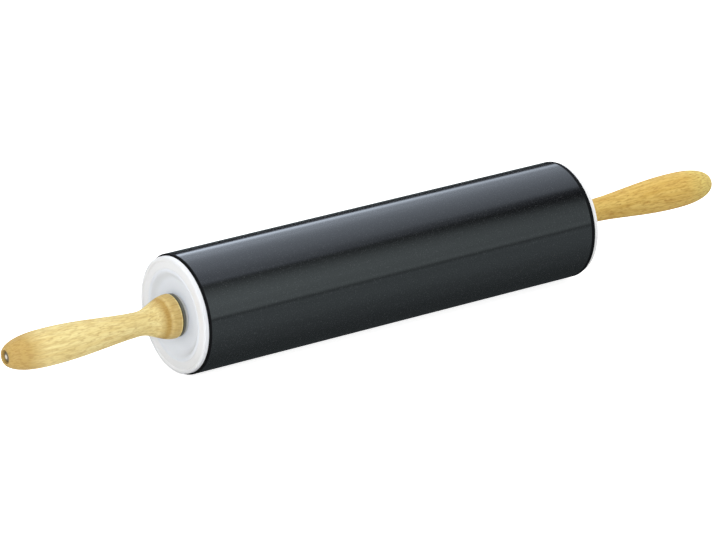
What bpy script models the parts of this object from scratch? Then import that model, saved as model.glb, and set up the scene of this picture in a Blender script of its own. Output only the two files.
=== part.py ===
"""Rolling pin: a coated steel barrel that turns on a steel axle between two wooden handles.

Units are metres and +Z is up. The spin axis lies along X through the world origin, which is
the middle of the barrel. Pieces are drawn in an axis frame whose local Z runs along the spin
axis, outwards from the middle of the barrel, so every station below is a distance from there.
"""

import math

import bmesh
import bpy

# Barrel tube
BARREL_LENGTH = 0.250
BARREL_RADIUS = 0.0325
TUBE_WALL = 0.0018
TUBE_EDGE_ROUND = 0.0008

# Clearances: between faces that seat on each other, and round a shaft in its hole
SEAT_GAP = 0.0003
SHAFT_GAP = 0.0003

# End cap: a flange on the tube's end, whose black edge stays in view round it, a dished face,
# a skirt in the tube and a hub round the bush
CAP_STEP_IN = 0.0011
FLANGE_THICKNESS = 0.0020
LIP_HEIGHT = 0.0006
LIP_WIDTH = 0.0026
LIP_ROUND = 0.0010
LIP_INNER_ROUND = 0.0005
RING_WIDTH = 0.0085
RING_THICKNESS = 0.0024
GROOVE_SETBACK = 0.0014
GROOVE_WIDTH = 0.0008
GROOVE_DEPTH = 0.0004
DISH_DEPTH = 0.0027
DISH_SLOPE_RUN = 0.0026
DISH_ROUND = 0.0012
DISH_EDGE_ROUND = 0.0006
FLOOR_THICKNESS = 0.0022
SKIRT_DEPTH = 0.0120
SKIRT_WALL = 0.0022
SKIRT_SETBACK = 0.0007
SKIRT_LEAD_IN = 0.0012
HUB_DEPTH = 0.0070
HUB_WALL = 0.0025
HUB_ROUND = 0.0005
GUSSET_COUNT = 6
GUSSET_THICKNESS = 0.0018
GUSSET_HUB_DEPTH = 0.0040
GUSSET_SKIRT_DEPTH = 0.0050
CRUSH_RIB_COUNT = 6
CRUSH_RIB_WIDTH = 0.0014
CRUSH_RIB_LENGTH = 0.0080
CRUSH_RIB_SETBACK = 0.0024
ROOT_OVERLAP = 0.0008

# Bush pressed into the hub: a flange on the dish, a web, a long bearing sleeve and round it a
# short outer sleeve, with a cored groove between the two
BUSH_WALL = 0.0019
BUSH_CORE_WIDTH = 0.0014
BUSH_SLEEVE_WALL = 0.0016
BUSH_FLANGE_RADIUS = 0.0110
BUSH_FLANGE_THICKNESS = 0.0012
BUSH_WEB_THICKNESS = 0.0020
BUSH_LENGTH = 0.0169
BUSH_STANDOUT = 0.0006
BUSH_ROUND = 0.0004

# Washers on the axle
THRUST_WASHER_RADIUS = 0.0116
THRUST_WASHER_THICKNESS = 0.0015
CLIP_WASHER_RADIUS = 0.0085
CLIP_WASHER_THICKNESS = 0.0010
WASHER_EDGE_ROUND = 0.0002

# Retaining clip: an open ring with three lugs that grip the axle's groove
CLIP_RADIUS = 0.0078
CLIP_THICKNESS = 0.0009
CLIP_RELIEF_RADIUS = 0.0056
CLIP_OPENING_ANGLE = math.radians(64)
CLIP_LUG_ANGLE = math.radians(34)
CLIP_POINT_STEP = math.radians(8)

# Axle: a rod with a groove at each clip, a slim shank in each handle and riveted ends
AXLE_RADIUS = 0.0040
AXLE_EDGE_ROUND = 0.0004
CLIP_GROOVE_DEPTH = 0.0007
SHANK_RADIUS = 0.00225
RIVET_HEAD_RADIUS = 0.0029
RIVET_HEAD_RIM = 0.0004
RIVET_HEAD_DOME = 0.0010

# Handle: stations are distances from the base of its collar
HANDLE_LENGTH = 0.1004
COLLAR_RADIUS = 0.0119
COLLAR_EDGE_ROUND = 0.0009
COLLAR_LAND = 0.0014
NECK_RADIUS = 0.0065
NECK_STATION = 0.0210
GRIP_RADIUS = 0.0100
GRIP_STATION = 0.0745
TIP_RADIUS = 0.0046
TIP_FULLNESS = 2.5
GRIP_RISE_POWER = 1.5
COUNTERBORE_RADIUS = 0.0036
COUNTERBORE_DEPTH = 0.0032
RIVET_WASHER_RADIUS = 0.0033
RIVET_WASHER_THICKNESS = 0.0007

# Facets round each turned piece, and points along its curves; small fillets are chamfers
BARREL_SIDES = 48
HANDLE_SIDES = 30
SMALL_SIDES = 24
ARC_STEPS = 2
SMALL_FILLET = 0.0007
DOME_STEPS = 4
COLLAR_STEPS = 7
GRIP_STEPS = 7
TIP_STEPS = 7
MERGE_DISTANCE = 0.00001
SHARP_ANGLE = math.radians(32)

# A fillet takes at most this share of the edges beside it, and a flatter corner gets none
FILLET_SHARE = 0.45
FLAT_HALF_ANGLE = math.radians(85)

# Stations along the axis that follow from the sizes above, from the middle outwards
TUBE_END = BARREL_LENGTH / 2
TUBE_BORE = BARREL_RADIUS - TUBE_WALL
FLANGE_SEAT = TUBE_END + SEAT_GAP
RING_FACE = FLANGE_SEAT + FLANGE_THICKNESS
LIP_FACE = RING_FACE + LIP_HEIGHT
RING_BACK = RING_FACE - RING_THICKNESS
DISH_FLOOR = RING_FACE - DISH_DEPTH
FLOOR_BACK = DISH_FLOOR - FLOOR_THICKNESS
SKIRT_END = FLANGE_SEAT - SKIRT_DEPTH
HUB_END = DISH_FLOOR - HUB_DEPTH
BUSH_SEAT = DISH_FLOOR + SEAT_GAP
BUSH_FACE = BUSH_SEAT + BUSH_FLANGE_THICKNESS
BUSH_WEB_BACK = BUSH_SEAT - BUSH_WEB_THICKNESS
BUSH_SLEEVE_END = HUB_END - BUSH_STANDOUT
BUSH_END = BUSH_SEAT - BUSH_LENGTH
THRUST_WASHER_SEAT = BUSH_FACE + SEAT_GAP
THRUST_WASHER_FACE = THRUST_WASHER_SEAT + THRUST_WASHER_THICKNESS
CLIP_WASHER_FACE = BUSH_END - SEAT_GAP
CLIP_WASHER_BACK = CLIP_WASHER_FACE - CLIP_WASHER_THICKNESS
CLIP_FACE = CLIP_WASHER_BACK - SEAT_GAP
CLIP_BACK = CLIP_FACE - CLIP_THICKNESS
HANDLE_BASE = THRUST_WASHER_FACE + SEAT_GAP
HANDLE_TIP = HANDLE_BASE + HANDLE_LENGTH
COUNTERBORE_FLOOR = HANDLE_TIP - COUNTERBORE_DEPTH
RIVET_WASHER_SEAT = COUNTERBORE_FLOOR + SEAT_GAP
RIVET_WASHER_FACE = RIVET_WASHER_SEAT + RIVET_WASHER_THICKNESS
RIVET_HEAD_SEAT = RIVET_WASHER_FACE + SEAT_GAP

# Radii that follow from the sizes above
FLANGE_RADIUS = BARREL_RADIUS - CAP_STEP_IN
SKIRT_RADIUS = TUBE_BORE - SKIRT_SETBACK
SKIRT_BORE = SKIRT_RADIUS - SKIRT_WALL
DISH_TOP_RADIUS = FLANGE_RADIUS - RING_WIDTH
DISH_FLOOR_RADIUS = DISH_TOP_RADIUS - DISH_SLOPE_RUN
AXLE_HOLE_RADIUS = AXLE_RADIUS + SHAFT_GAP
BUSH_CORE_INNER = AXLE_HOLE_RADIUS + BUSH_WALL
BUSH_CORE_OUTER = BUSH_CORE_INNER + BUSH_CORE_WIDTH
BUSH_RADIUS = BUSH_CORE_OUTER + BUSH_SLEEVE_WALL
HUB_BORE = BUSH_RADIUS + SEAT_GAP
HUB_RADIUS = HUB_BORE + HUB_WALL
CLIP_GROOVE_RADIUS = AXLE_RADIUS - CLIP_GROOVE_DEPTH
SHANK_HOLE_RADIUS = SHANK_RADIUS + SHAFT_GAP


def clear_scene():
    for obj in list(bpy.data.objects):
        bpy.data.objects.remove(obj, do_unlink=True)


def make_collection(name):
    collection = bpy.data.collections.new(name)
    bpy.context.scene.collection.children.link(collection)
    return collection


def make_material(name, color, roughness, metallic=0.0):
    material = bpy.data.materials.new(name)
    material.use_nodes = True
    shader = material.node_tree.nodes["Principled BSDF"]
    shader.inputs["Base Color"].default_value = (*color, 1.0)
    shader.inputs["Roughness"].default_value = roughness
    shader.inputs["Metallic"].default_value = metallic
    material.diffuse_color = (*color, 1.0)
    return material


def rounded(corners):
    """Points round a closed outline, with each (radius, station, fillet) corner as an arc."""
    points = []
    for index, (x, z, fillet) in enumerate(corners):
        before = corners[index - 1]
        after = corners[(index + 1) % len(corners)]
        to_before = (before[0] - x, before[1] - z)
        to_after = (after[0] - x, after[1] - z)
        length_before = math.hypot(*to_before)
        length_after = math.hypot(*to_after)
        unit_before = (to_before[0] / length_before, to_before[1] / length_before)
        unit_after = (to_after[0] / length_after, to_after[1] / length_after)
        dot = unit_before[0] * unit_after[0] + unit_before[1] * unit_after[1]
        half_angle = math.acos(max(-1.0, min(1.0, dot))) / 2
        if fillet == 0 or half_angle > FLAT_HALF_ANGLE:
            points.append((x, z))
            continue
        room = FILLET_SHARE * min(length_before, length_after)
        setback = min(fillet / math.tan(half_angle), room)
        start = (x + unit_before[0] * setback, z + unit_before[1] * setback)
        end = (x + unit_after[0] * setback, z + unit_after[1] * setback)
        arc_steps = 1 if fillet < SMALL_FILLET else ARC_STEPS
        for step in range(arc_steps + 1):
            t = step / arc_steps
            arc_x = (1 - t) ** 2 * start[0] + 2 * t * (1 - t) * x + t**2 * end[0]
            arc_z = (1 - t) ** 2 * start[1] + 2 * t * (1 - t) * z + t**2 * end[1]
            points.append((arc_x, arc_z))
    return points


def turned_mesh(name, points, sides, closed=True):
    """Mesh of an outline of (radius, station) points turned about the local Z axis.

    The outline runs down its outer side first. An open one starts and ends on the axis.
    """
    outline = bpy.data.meshes.new(name + "_outline")
    count = len(points)
    edges = [(i, (i + 1) % count) for i in range(count if closed else count - 1)]
    outline.from_pydata([(radius, 0.0, station) for radius, station in points], edges, [])
    blank = bpy.data.objects.new(name + "_blank", outline)
    bpy.context.scene.collection.objects.link(blank)
    screw = blank.modifiers.new("Turn", "SCREW")
    screw.axis = "Z"
    screw.angle = 2 * math.pi
    screw.steps = sides
    screw.render_steps = sides
    screw.use_merge_vertices = True
    screw.merge_threshold = MERGE_DISTANCE
    return finished_mesh(name, blank)


def finished_mesh(name, blank):
    """Shaded mesh of an object with its modifiers applied; the object itself is removed."""
    graph = bpy.context.evaluated_depsgraph_get()
    mesh = bpy.data.meshes.new_from_object(blank.evaluated_get(graph))
    mesh.name = name
    weld = bmesh.new()
    weld.from_mesh(mesh)
    bmesh.ops.remove_doubles(weld, verts=weld.verts, dist=MERGE_DISTANCE)
    weld.to_mesh(mesh)
    weld.free()
    mesh.shade_smooth()
    mesh.set_sharp_from_angle(angle=SHARP_ANGLE)
    bpy.data.objects.remove(blank, do_unlink=True)
    return mesh


def flat_object(name, outline, thickness):
    """Object of a flat outline in the local XY plane, with half its thickness on each side."""
    curve = bpy.data.curves.new(name, "CURVE")
    curve.dimensions = "2D"
    curve.fill_mode = "BOTH"
    curve.extrude = thickness / 2
    spline = curve.splines.new("POLY")
    spline.points.add(len(outline) - 1)
    for point, (x, y) in zip(spline.points, outline):
        point.co = (x, y, 0.0, 1.0)
    spline.use_cyclic_u = True
    obj = bpy.data.objects.new(name, curve)
    bpy.context.scene.collection.objects.link(obj)
    return obj


def welded_copy(name, curve_object):
    """Closed mesh object that takes a curve object's shape and place; the curve is removed."""
    bpy.context.view_layer.update()
    place = curve_object.matrix_world.copy()
    solid = bpy.data.objects.new(name, finished_mesh(name, curve_object))
    solid.matrix_world = place
    bpy.context.scene.collection.objects.link(solid)
    return solid


def bake_location(obj):
    """Moves an object's placement into its mesh, which then sits in the axis frame."""
    obj.data.transform(obj.matrix_world)
    obj.matrix_world.identity()
    obj.location = (0.0, 0.0, 0.0)
    obj.rotation_euler = (0.0, 0.0, 0.0)


def ring_outline(outer, inner, low, high, fillet):
    """Closed outline of a plain ring, with its outer edges rounded."""
    return rounded([(outer, high, fillet), (outer, low, fillet), (inner, low, 0), (inner, high, 0)])


def tube_mesh():
    return turned_mesh(
        "barrel_tube",
        ring_outline(BARREL_RADIUS, TUBE_BORE, -TUBE_END, TUBE_END, TUBE_EDGE_ROUND),
        BARREL_SIDES,
    )


def cap_outline():
    """Closed outline of the cap: flange, skirt, back of the face, hub and dished face."""
    groove_outer = DISH_TOP_RADIUS + GROOVE_SETBACK + GROOVE_WIDTH
    groove_inner = DISH_TOP_RADIUS + GROOVE_SETBACK
    groove_middle = (groove_outer + groove_inner) / 2
    lip_inner = FLANGE_RADIUS - LIP_WIDTH
    return rounded(
        [
            (FLANGE_RADIUS, LIP_FACE, LIP_ROUND),
            (FLANGE_RADIUS, FLANGE_SEAT, 0),
            (SKIRT_RADIUS, FLANGE_SEAT, 0),
            (SKIRT_RADIUS, SKIRT_END, SKIRT_LEAD_IN),
            (SKIRT_BORE, SKIRT_END, 0),
            (SKIRT_BORE, RING_BACK, 0),
            (DISH_TOP_RADIUS, RING_BACK, 0),
            (DISH_FLOOR_RADIUS, FLOOR_BACK, 0),
            (HUB_RADIUS, FLOOR_BACK, 0),
            (HUB_RADIUS, HUB_END, HUB_ROUND),
            (HUB_BORE, HUB_END, 0),
            (HUB_BORE, DISH_FLOOR, 0),
            (DISH_FLOOR_RADIUS, DISH_FLOOR, DISH_ROUND),
            (DISH_TOP_RADIUS, RING_FACE, DISH_EDGE_ROUND),
            (groove_inner, RING_FACE, 0),
            (groove_middle, RING_FACE - GROOVE_DEPTH, 0),
            (groove_outer, RING_FACE, 0),
            (lip_inner, RING_FACE, 0),
            (lip_inner + LIP_HEIGHT, LIP_FACE, LIP_INNER_ROUND),
        ]
    )


def gusset(angle):
    """One radial gusset behind the cap's face, from the hub to the skirt."""
    inner = HUB_RADIUS - ROOT_OVERLAP
    outer = SKIRT_BORE + ROOT_OVERLAP
    outline = [
        (inner, DISH_FLOOR - FLOOR_THICKNESS / 2),
        (DISH_FLOOR_RADIUS, DISH_FLOOR - FLOOR_THICKNESS / 2),
        (DISH_TOP_RADIUS, RING_FACE - RING_THICKNESS / 2),
        (outer, RING_FACE - RING_THICKNESS / 2),
        (outer, RING_BACK - GUSSET_SKIRT_DEPTH),
        (inner, FLOOR_BACK - GUSSET_HUB_DEPTH),
    ]
    curve = flat_object("gusset_outline", outline, GUSSET_THICKNESS)
    curve.rotation_euler = (math.pi / 2, 0.0, angle)
    return welded_copy("gusset", curve)


def crush_rib(angle):
    """One rib along the skirt, which reaches the bore at the middle of a facet."""
    facet_distance = TUBE_BORE * math.cos(math.pi / BARREL_SIDES)
    reach = facet_distance - SEAT_GAP
    root = SKIRT_RADIUS - ROOT_OVERLAP
    low = SKIRT_END + CRUSH_RIB_SETBACK
    bpy.ops.mesh.primitive_cube_add(size=1)
    rib = bpy.context.object
    rib.name = "crush_rib"
    rib.scale = (reach - root, CRUSH_RIB_WIDTH, CRUSH_RIB_LENGTH)
    middle = (reach + root) / 2
    rib.location = (middle * math.cos(angle), middle * math.sin(angle), low + CRUSH_RIB_LENGTH / 2)
    rib.rotation_euler.z = angle
    return rib


def cap_mesh():
    """The turned cap with its gussets and crush ribs joined on."""
    mesh = turned_mesh("cap_body", cap_outline(), BARREL_SIDES)
    cap = bpy.data.objects.new("cap_blank", mesh)
    bpy.context.scene.collection.objects.link(cap)
    cap.rotation_euler.z = math.pi / BARREL_SIDES
    ribs = []
    for index in range(GUSSET_COUNT):
        ribs.append(gusset(2 * math.pi * index / GUSSET_COUNT))
    facet_angle = 2 * math.pi / BARREL_SIDES
    first_rib = math.pi / GUSSET_COUNT
    for index in range(CRUSH_RIB_COUNT):
        between_gussets = first_rib + 2 * math.pi * index / CRUSH_RIB_COUNT
        ribs.append(crush_rib(round(between_gussets / facet_angle) * facet_angle))
    bpy.context.view_layer.update()
    bake_location(cap)
    for rib in ribs:
        bake_location(rib)
        join = cap.modifiers.new(rib.name, "BOOLEAN")
        join.operation = "UNION"
        join.solver = "EXACT"
        join.object = rib
    mesh = finished_mesh("end_cap", cap)
    for rib in ribs:
        bpy.data.objects.remove(rib, do_unlink=True)
    return mesh


def bush_mesh():
    return turned_mesh(
        "axle_bush",
        rounded(
            [
                (BUSH_FLANGE_RADIUS, BUSH_FACE, BUSH_ROUND),
                (BUSH_FLANGE_RADIUS, BUSH_SEAT, 0),
                (BUSH_RADIUS, BUSH_SEAT, 0),
                (BUSH_RADIUS, BUSH_SLEEVE_END, BUSH_ROUND),
                (BUSH_CORE_OUTER, BUSH_SLEEVE_END, 0),
                (BUSH_CORE_OUTER, BUSH_WEB_BACK, 0),
                (BUSH_CORE_INNER, BUSH_WEB_BACK, 0),
                (BUSH_CORE_INNER, BUSH_END, BUSH_ROUND),
                (AXLE_HOLE_RADIUS, BUSH_END, 0),
                (AXLE_HOLE_RADIUS, BUSH_FACE, 0),
            ]
        ),
        SMALL_SIDES,
    )


def washer_mesh(name, outer, inner, low, thickness):
    outline = ring_outline(outer, inner, low, low + thickness, WASHER_EDGE_ROUND)
    return turned_mesh(name, outline, SMALL_SIDES)


def clip_outline():
    """Flat outline of the open clip, whose gap faces local -X."""
    gap_half = CLIP_OPENING_ANGLE / 2
    span = 2 * math.pi - CLIP_OPENING_ANGLE
    steps = round(span / CLIP_POINT_STEP)
    lug_half = CLIP_LUG_ANGLE / 2
    lug_angles = [lug_half, span / 2, span - lug_half]
    grip = CLIP_GROOVE_RADIUS + SHAFT_GAP
    first = math.pi + gap_half
    reach = lug_half + CLIP_POINT_STEP / 4
    outline = []
    for step in range(steps + 1):
        angle = first + span * step / steps
        outline.append((CLIP_RADIUS * math.cos(angle), CLIP_RADIUS * math.sin(angle)))
    for step in range(steps, -1, -1):
        turn = span * step / steps
        on_lug = any(abs(turn - lug) <= reach for lug in lug_angles)
        radius = grip if on_lug else CLIP_RELIEF_RADIUS
        angle = first + turn
        outline.append((radius * math.cos(angle), radius * math.sin(angle)))
    return outline


def clip_mesh():
    curve = flat_object("clip_outline", clip_outline(), CLIP_THICKNESS)
    clip = welded_copy("retaining_clip", curve)
    clip.location.z = (CLIP_FACE + CLIP_BACK) / 2
    bpy.context.view_layer.update()
    bake_location(clip)
    mesh = clip.data
    bpy.data.objects.remove(clip, do_unlink=True)
    return mesh


def rivet_dome():
    """Points from the crown of a riveted end to the edge of its head."""
    crown = RIVET_HEAD_SEAT + RIVET_HEAD_RIM + RIVET_HEAD_DOME
    points = []
    for step in range(DOME_STEPS + 1):
        t = step / DOME_STEPS
        drop = RIVET_HEAD_DOME * (1 - math.cos(t * math.pi / 2))
        points.append((RIVET_HEAD_RADIUS * math.sin(t * math.pi / 2), crown - drop))
    return points


def axle_mesh():
    """The whole rod, the same towards both ends."""
    half = rivet_dome()
    half += [
        (RIVET_HEAD_RADIUS, RIVET_HEAD_SEAT),
        (SHANK_RADIUS, RIVET_HEAD_SEAT),
        (SHANK_RADIUS, THRUST_WASHER_FACE),
        (AXLE_RADIUS - AXLE_EDGE_ROUND, THRUST_WASHER_FACE),
        (AXLE_RADIUS, THRUST_WASHER_FACE - AXLE_EDGE_ROUND),
        (AXLE_RADIUS, CLIP_FACE + SEAT_GAP),
        (CLIP_GROOVE_RADIUS, CLIP_FACE + SEAT_GAP),
        (CLIP_GROOVE_RADIUS, CLIP_BACK - SEAT_GAP),
        (AXLE_RADIUS, CLIP_BACK - SEAT_GAP),
    ]
    other_half = [(radius, -station) for radius, station in reversed(half)]
    return turned_mesh("axle_rod", half + other_half, SMALL_SIDES, closed=False)


def handle_curve():
    """Points down the handle's outside, from its tip to the edge of its collar."""
    tip_span = HANDLE_LENGTH - GRIP_STATION
    tip_share = (1 - (TIP_RADIUS / GRIP_RADIUS) ** TIP_FULLNESS) ** (1 / TIP_FULLNESS)
    points = []
    for step in range(TIP_STEPS):
        t = tip_share * math.sin(math.pi / 2 * (1 - step / TIP_STEPS))
        radius = GRIP_RADIUS * (1 - t**TIP_FULLNESS) ** (1 / TIP_FULLNESS)
        points.append((radius, GRIP_STATION + tip_span * t / tip_share))
    for step in range(GRIP_STEPS):
        t = 1 - step / GRIP_STEPS
        rise = math.sin(t * math.pi / 2) ** GRIP_RISE_POWER
        station = NECK_STATION + (GRIP_STATION - NECK_STATION) * t
        points.append((NECK_RADIUS + (GRIP_RADIUS - NECK_RADIUS) * rise, station))
    for step in range(COLLAR_STEPS):
        t = step / COLLAR_STEPS
        rise = (1 - math.cos(math.pi * t)) / 2
        station = NECK_STATION + (COLLAR_LAND - NECK_STATION) * t
        points.append((NECK_RADIUS + (COLLAR_RADIUS - NECK_RADIUS) * rise, station))
    return [(radius, HANDLE_BASE + station) for radius, station in points]


def handle_mesh():
    outline = [(radius, station, 0) for radius, station in handle_curve()]
    outline += [
        (COLLAR_RADIUS, HANDLE_BASE + COLLAR_LAND, 0),
        (COLLAR_RADIUS, HANDLE_BASE, COLLAR_EDGE_ROUND),
        (SHANK_HOLE_RADIUS, HANDLE_BASE, 0),
        (SHANK_HOLE_RADIUS, COUNTERBORE_FLOOR, 0),
        (COUNTERBORE_RADIUS, COUNTERBORE_FLOOR, 0),
        (COUNTERBORE_RADIUS, HANDLE_TIP, 0),
    ]
    return turned_mesh("handle", rounded(outline), HANDLE_SIDES)


def make_axis(name, collection):
    """Empty on the spin axis, turned so that its local Z lies along world X."""
    axis = bpy.data.objects.new(name, None)
    axis.empty_display_size = BARREL_RADIUS
    axis.rotation_euler = (0.0, math.pi / 2, 0.0)
    collection.objects.link(axis)
    return axis


def place(name, mesh, material, axis, collection, turn=(0.0, 0.0, 0.0)):
    obj = bpy.data.objects.new(name, mesh)
    obj.parent = axis
    obj.rotation_euler = turn
    if not mesh.materials:
        mesh.materials.append(material)
    collection.objects.link(obj)
    return obj


def place_pair(name, mesh, material, axis, collection):
    """The same piece at both ends; the left one is turned end for end."""
    place("right_" + name, mesh, material, axis, collection)
    place("left_" + name, mesh, material, axis, collection, turn=(math.pi, 0.0, 0.0))


def build():
    clear_scene()
    parts = make_collection("rolling_pin")

    coating = make_material("nonstick_coating", (0.018, 0.019, 0.021), 0.36)
    white_plastic = make_material("white_cap_plastic", (0.82, 0.84, 0.87), 0.42)
    bush_plastic = make_material("bush_plastic", (0.72, 0.72, 0.69), 0.38)
    steel = make_material("bright_steel", (0.56, 0.57, 0.58), 0.30, metallic=1.0)
    washer_steel = make_material("dull_washer_steel", (0.20, 0.20, 0.19), 0.45, metallic=1.0)
    wood = make_material("turned_beech", (0.79, 0.60, 0.34), 0.55)

    spindle = make_axis("spindle_axis", parts)
    barrel = make_axis("barrel_axis", parts)

    # The barrel's lowest facet lies flat, half a facet round from the outline's start
    flat_down = (0.0, 0.0, math.pi / BARREL_SIDES)
    place("barrel_tube", tube_mesh(), coating, barrel, parts, turn=flat_down)
    place_pair("end_cap", cap_mesh(), white_plastic, barrel, parts)
    place_pair("axle_bush", bush_mesh(), bush_plastic, barrel, parts)

    place("axle_rod", axle_mesh(), steel, spindle, parts)
    thrust_washer = washer_mesh(
        "thrust_washer",
        THRUST_WASHER_RADIUS,
        AXLE_HOLE_RADIUS,
        THRUST_WASHER_SEAT,
        THRUST_WASHER_THICKNESS,
    )
    place_pair("thrust_washer", thrust_washer, washer_steel, spindle, parts)
    clip_washer = washer_mesh(
        "clip_washer",
        CLIP_WASHER_RADIUS,
        AXLE_HOLE_RADIUS,
        CLIP_WASHER_BACK,
        CLIP_WASHER_THICKNESS,
    )
    place_pair("clip_washer", clip_washer, steel, spindle, parts)
    place_pair("retaining_clip", clip_mesh(), washer_steel, spindle, parts)
    place_pair("handle", handle_mesh(), wood, spindle, parts)
    rivet_washer = washer_mesh(
        "rivet_washer",
        RIVET_WASHER_RADIUS,
        SHANK_HOLE_RADIUS,
        RIVET_WASHER_SEAT,
        RIVET_WASHER_THICKNESS,
    )
    place_pair("rivet_washer", rivet_washer, steel, spindle, parts)


build()
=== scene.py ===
"""Studio look of the rolling pin: finely turned pieces, their materials, camera and light.

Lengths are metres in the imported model's frame: the spin axis is X through the origin and +Z is
up. A turned piece is an outline of (radius, station) points, where a station is a distance
from the middle of the barrel along the axis. Angles round the axis start at the bottom.
"""

import math

import bmesh
import bpy
from mathutils import Matrix, Vector


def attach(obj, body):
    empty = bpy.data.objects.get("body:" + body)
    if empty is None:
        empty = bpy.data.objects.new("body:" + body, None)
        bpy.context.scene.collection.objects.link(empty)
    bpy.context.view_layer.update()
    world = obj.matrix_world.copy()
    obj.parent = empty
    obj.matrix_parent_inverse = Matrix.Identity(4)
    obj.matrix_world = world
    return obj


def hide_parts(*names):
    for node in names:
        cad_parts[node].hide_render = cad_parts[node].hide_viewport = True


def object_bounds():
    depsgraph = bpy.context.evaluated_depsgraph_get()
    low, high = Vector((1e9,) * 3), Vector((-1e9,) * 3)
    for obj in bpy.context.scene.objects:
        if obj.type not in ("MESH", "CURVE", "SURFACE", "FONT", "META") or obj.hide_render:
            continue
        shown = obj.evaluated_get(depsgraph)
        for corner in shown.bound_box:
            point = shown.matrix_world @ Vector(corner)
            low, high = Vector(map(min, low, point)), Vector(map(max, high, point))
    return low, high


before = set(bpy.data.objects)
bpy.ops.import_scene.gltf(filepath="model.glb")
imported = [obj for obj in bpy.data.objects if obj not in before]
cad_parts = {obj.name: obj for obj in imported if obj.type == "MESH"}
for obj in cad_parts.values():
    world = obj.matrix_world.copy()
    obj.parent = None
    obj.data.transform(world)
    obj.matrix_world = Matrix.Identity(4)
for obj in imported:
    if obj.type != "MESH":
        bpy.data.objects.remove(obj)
cad_low, cad_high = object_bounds()

# Camera: a plain pinhole, with the middle of the barrel a little right of and above the
# picture's middle
CAMERA_AZIMUTH = -34.5916
CAMERA_ELEVATION = 21.1962
CAMERA_DISTANCE = 2.3702
CAMERA_LENS = 222.0994
SENSOR_WIDTH = 36.0
BARREL_RIGHT_OF_MIDDLE = 0.00849
BARREL_ABOVE_MIDDLE = 0.00251

# Barrel tube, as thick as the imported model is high
TUBE_END = 0.1250
TUBE_RADIUS = cad_high.z
TUBE_BORE = 0.0307
TUBE_EDGE_ROUND = 0.0008
LEFT_EDGE_BAND = 0.0010
RIGHT_EDGE_BAND = 0.0026

# End cap
FLANGE_RADIUS = 0.0314
FLANGE_SEAT = 0.1253
RING_FACE = 0.1273
LIP_FACE = 0.1279
LIP_WIDTH = 0.0026
LIP_ROUND = 0.0010
LIP_INNER_ROUND = 0.0005
LIP_SLOPE_RUN = 0.0006
LIP_FOOT_ROUND = 0.0002
GROOVE_OUTER = 0.0256
GROOVE_INNER = 0.0240
GROOVE_DEPTH = 0.0003
GROOVE_ROUND = 0.0006
RING_BACK = 0.1249
DISH_TOP_RADIUS = 0.0229
DISH_EDGE_ROUND = 0.0023
DISH_FLOOR_RADIUS = 0.0203
DISH_ROUND = 0.0040
DISH_FLOOR = 0.1246
FLOOR_BACK = 0.1224
SKIRT_RADIUS = 0.0300
SKIRT_BORE = 0.0278
SKIRT_END = 0.1133
SKIRT_LEAD_IN = 0.0012
HUB_RADIUS = 0.0120
HUB_BORE = 0.0095
HUB_END = 0.1176
HUB_ROUND = 0.0005
GUSSET_COUNT = 6
GUSSET_THICKNESS = 0.0018
GUSSET_ROOT = 0.0008
GUSSET_HUB_DEPTH = 0.0040
GUSSET_SKIRT_DEPTH = 0.0050
CRUSH_RIB_WIDTH = 0.0014
CRUSH_RIB_REACH = 0.0303
CRUSH_RIB_LOW = 0.1157
CRUSH_RIB_LENGTH = 0.0080

# Thrust washer
WASHER_RADIUS = 0.0116
WASHER_HOLE_RADIUS = 0.0043
WASHER_SEAT = 0.1264
WASHER_FACE = 0.1279
WASHER_ROUND = 0.0002

# Handle, with stations of its curve from the base of the collar
HANDLE_BASE = 0.1282
HANDLE_LENGTH = 0.1004
COLLAR_RADIUS = 0.0119
COLLAR_EDGE_ROUND = 0.0009
COLLAR_LAND = 0.0014
NECK_RADIUS = 0.0065
NECK_STATION = 0.0210
GRIP_RADIUS = 0.0100
GRIP_STATION = 0.0745
GRIP_RISE_POWER = 1.5
TIP_RADIUS = 0.0046
TIP_FULLNESS = 2.5
TIP_EDGE_ROUND = 0.0004
COUNTERBORE_RADIUS = 0.0036
COUNTERBORE_DEPTH = 0.0032
SHANK_HOLE_RADIUS = 0.00255

# Riveted end of the rod, with a painted highlight within the first radius and a brown painted
# shade beyond the second
RIVET_START = 0.2255
RIVET_BRIGHT_RADIUS = 0.0009
RIVET_DARK_RADIUS = 0.0014

# Painted tone of the handle's ends, with stations from the base of the collar: where the
# collar's tone fades out, its weaker base, a ring of painted highlight, and where the tip's tone
# sets in.
# The tone is painted shade on the left handle and painted light on the right.
COLLAR_TONE_START = 0.0085
COLLAR_TONE_END = 0.0125
COLLAR_PALE_START = 0.0040
COLLAR_PALE_END = 0.0070
COLLAR_PALE_SHARE = 0.60
COLLAR_HIGHLIGHT_STATION = 0.0059
COLLAR_HIGHLIGHT_INNER = 0.0002
COLLAR_HIGHLIGHT_OUTER = 0.0016
COLLAR_HIGHLIGHT_SHARE = 0.45
TIP_TONE_START = 0.0800
TIP_TONE_END = 0.0910

# Points round each turned piece and along its curves, and the angle that makes an edge sharp
BARREL_SEGMENTS = 192
HANDLE_SEGMENTS = 96
ARC_STEPS = 6
CURVE_STEPS = 28
SHARP_ANGLE = math.radians(32)

# Material slots of the barrel's mesh
COATING_INDEX = 0
EDGE_INDEX = 1

# Materials. A noise is given by its settings, with its scale per metre. A range is the part of
# the noise over which a share goes from 0 to 1. A pair of roughnesses goes with low and with
# high noise, the two values that most of it lies between.
NOISE_LOW = 0.3
NOISE_HIGH = 0.7

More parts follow.
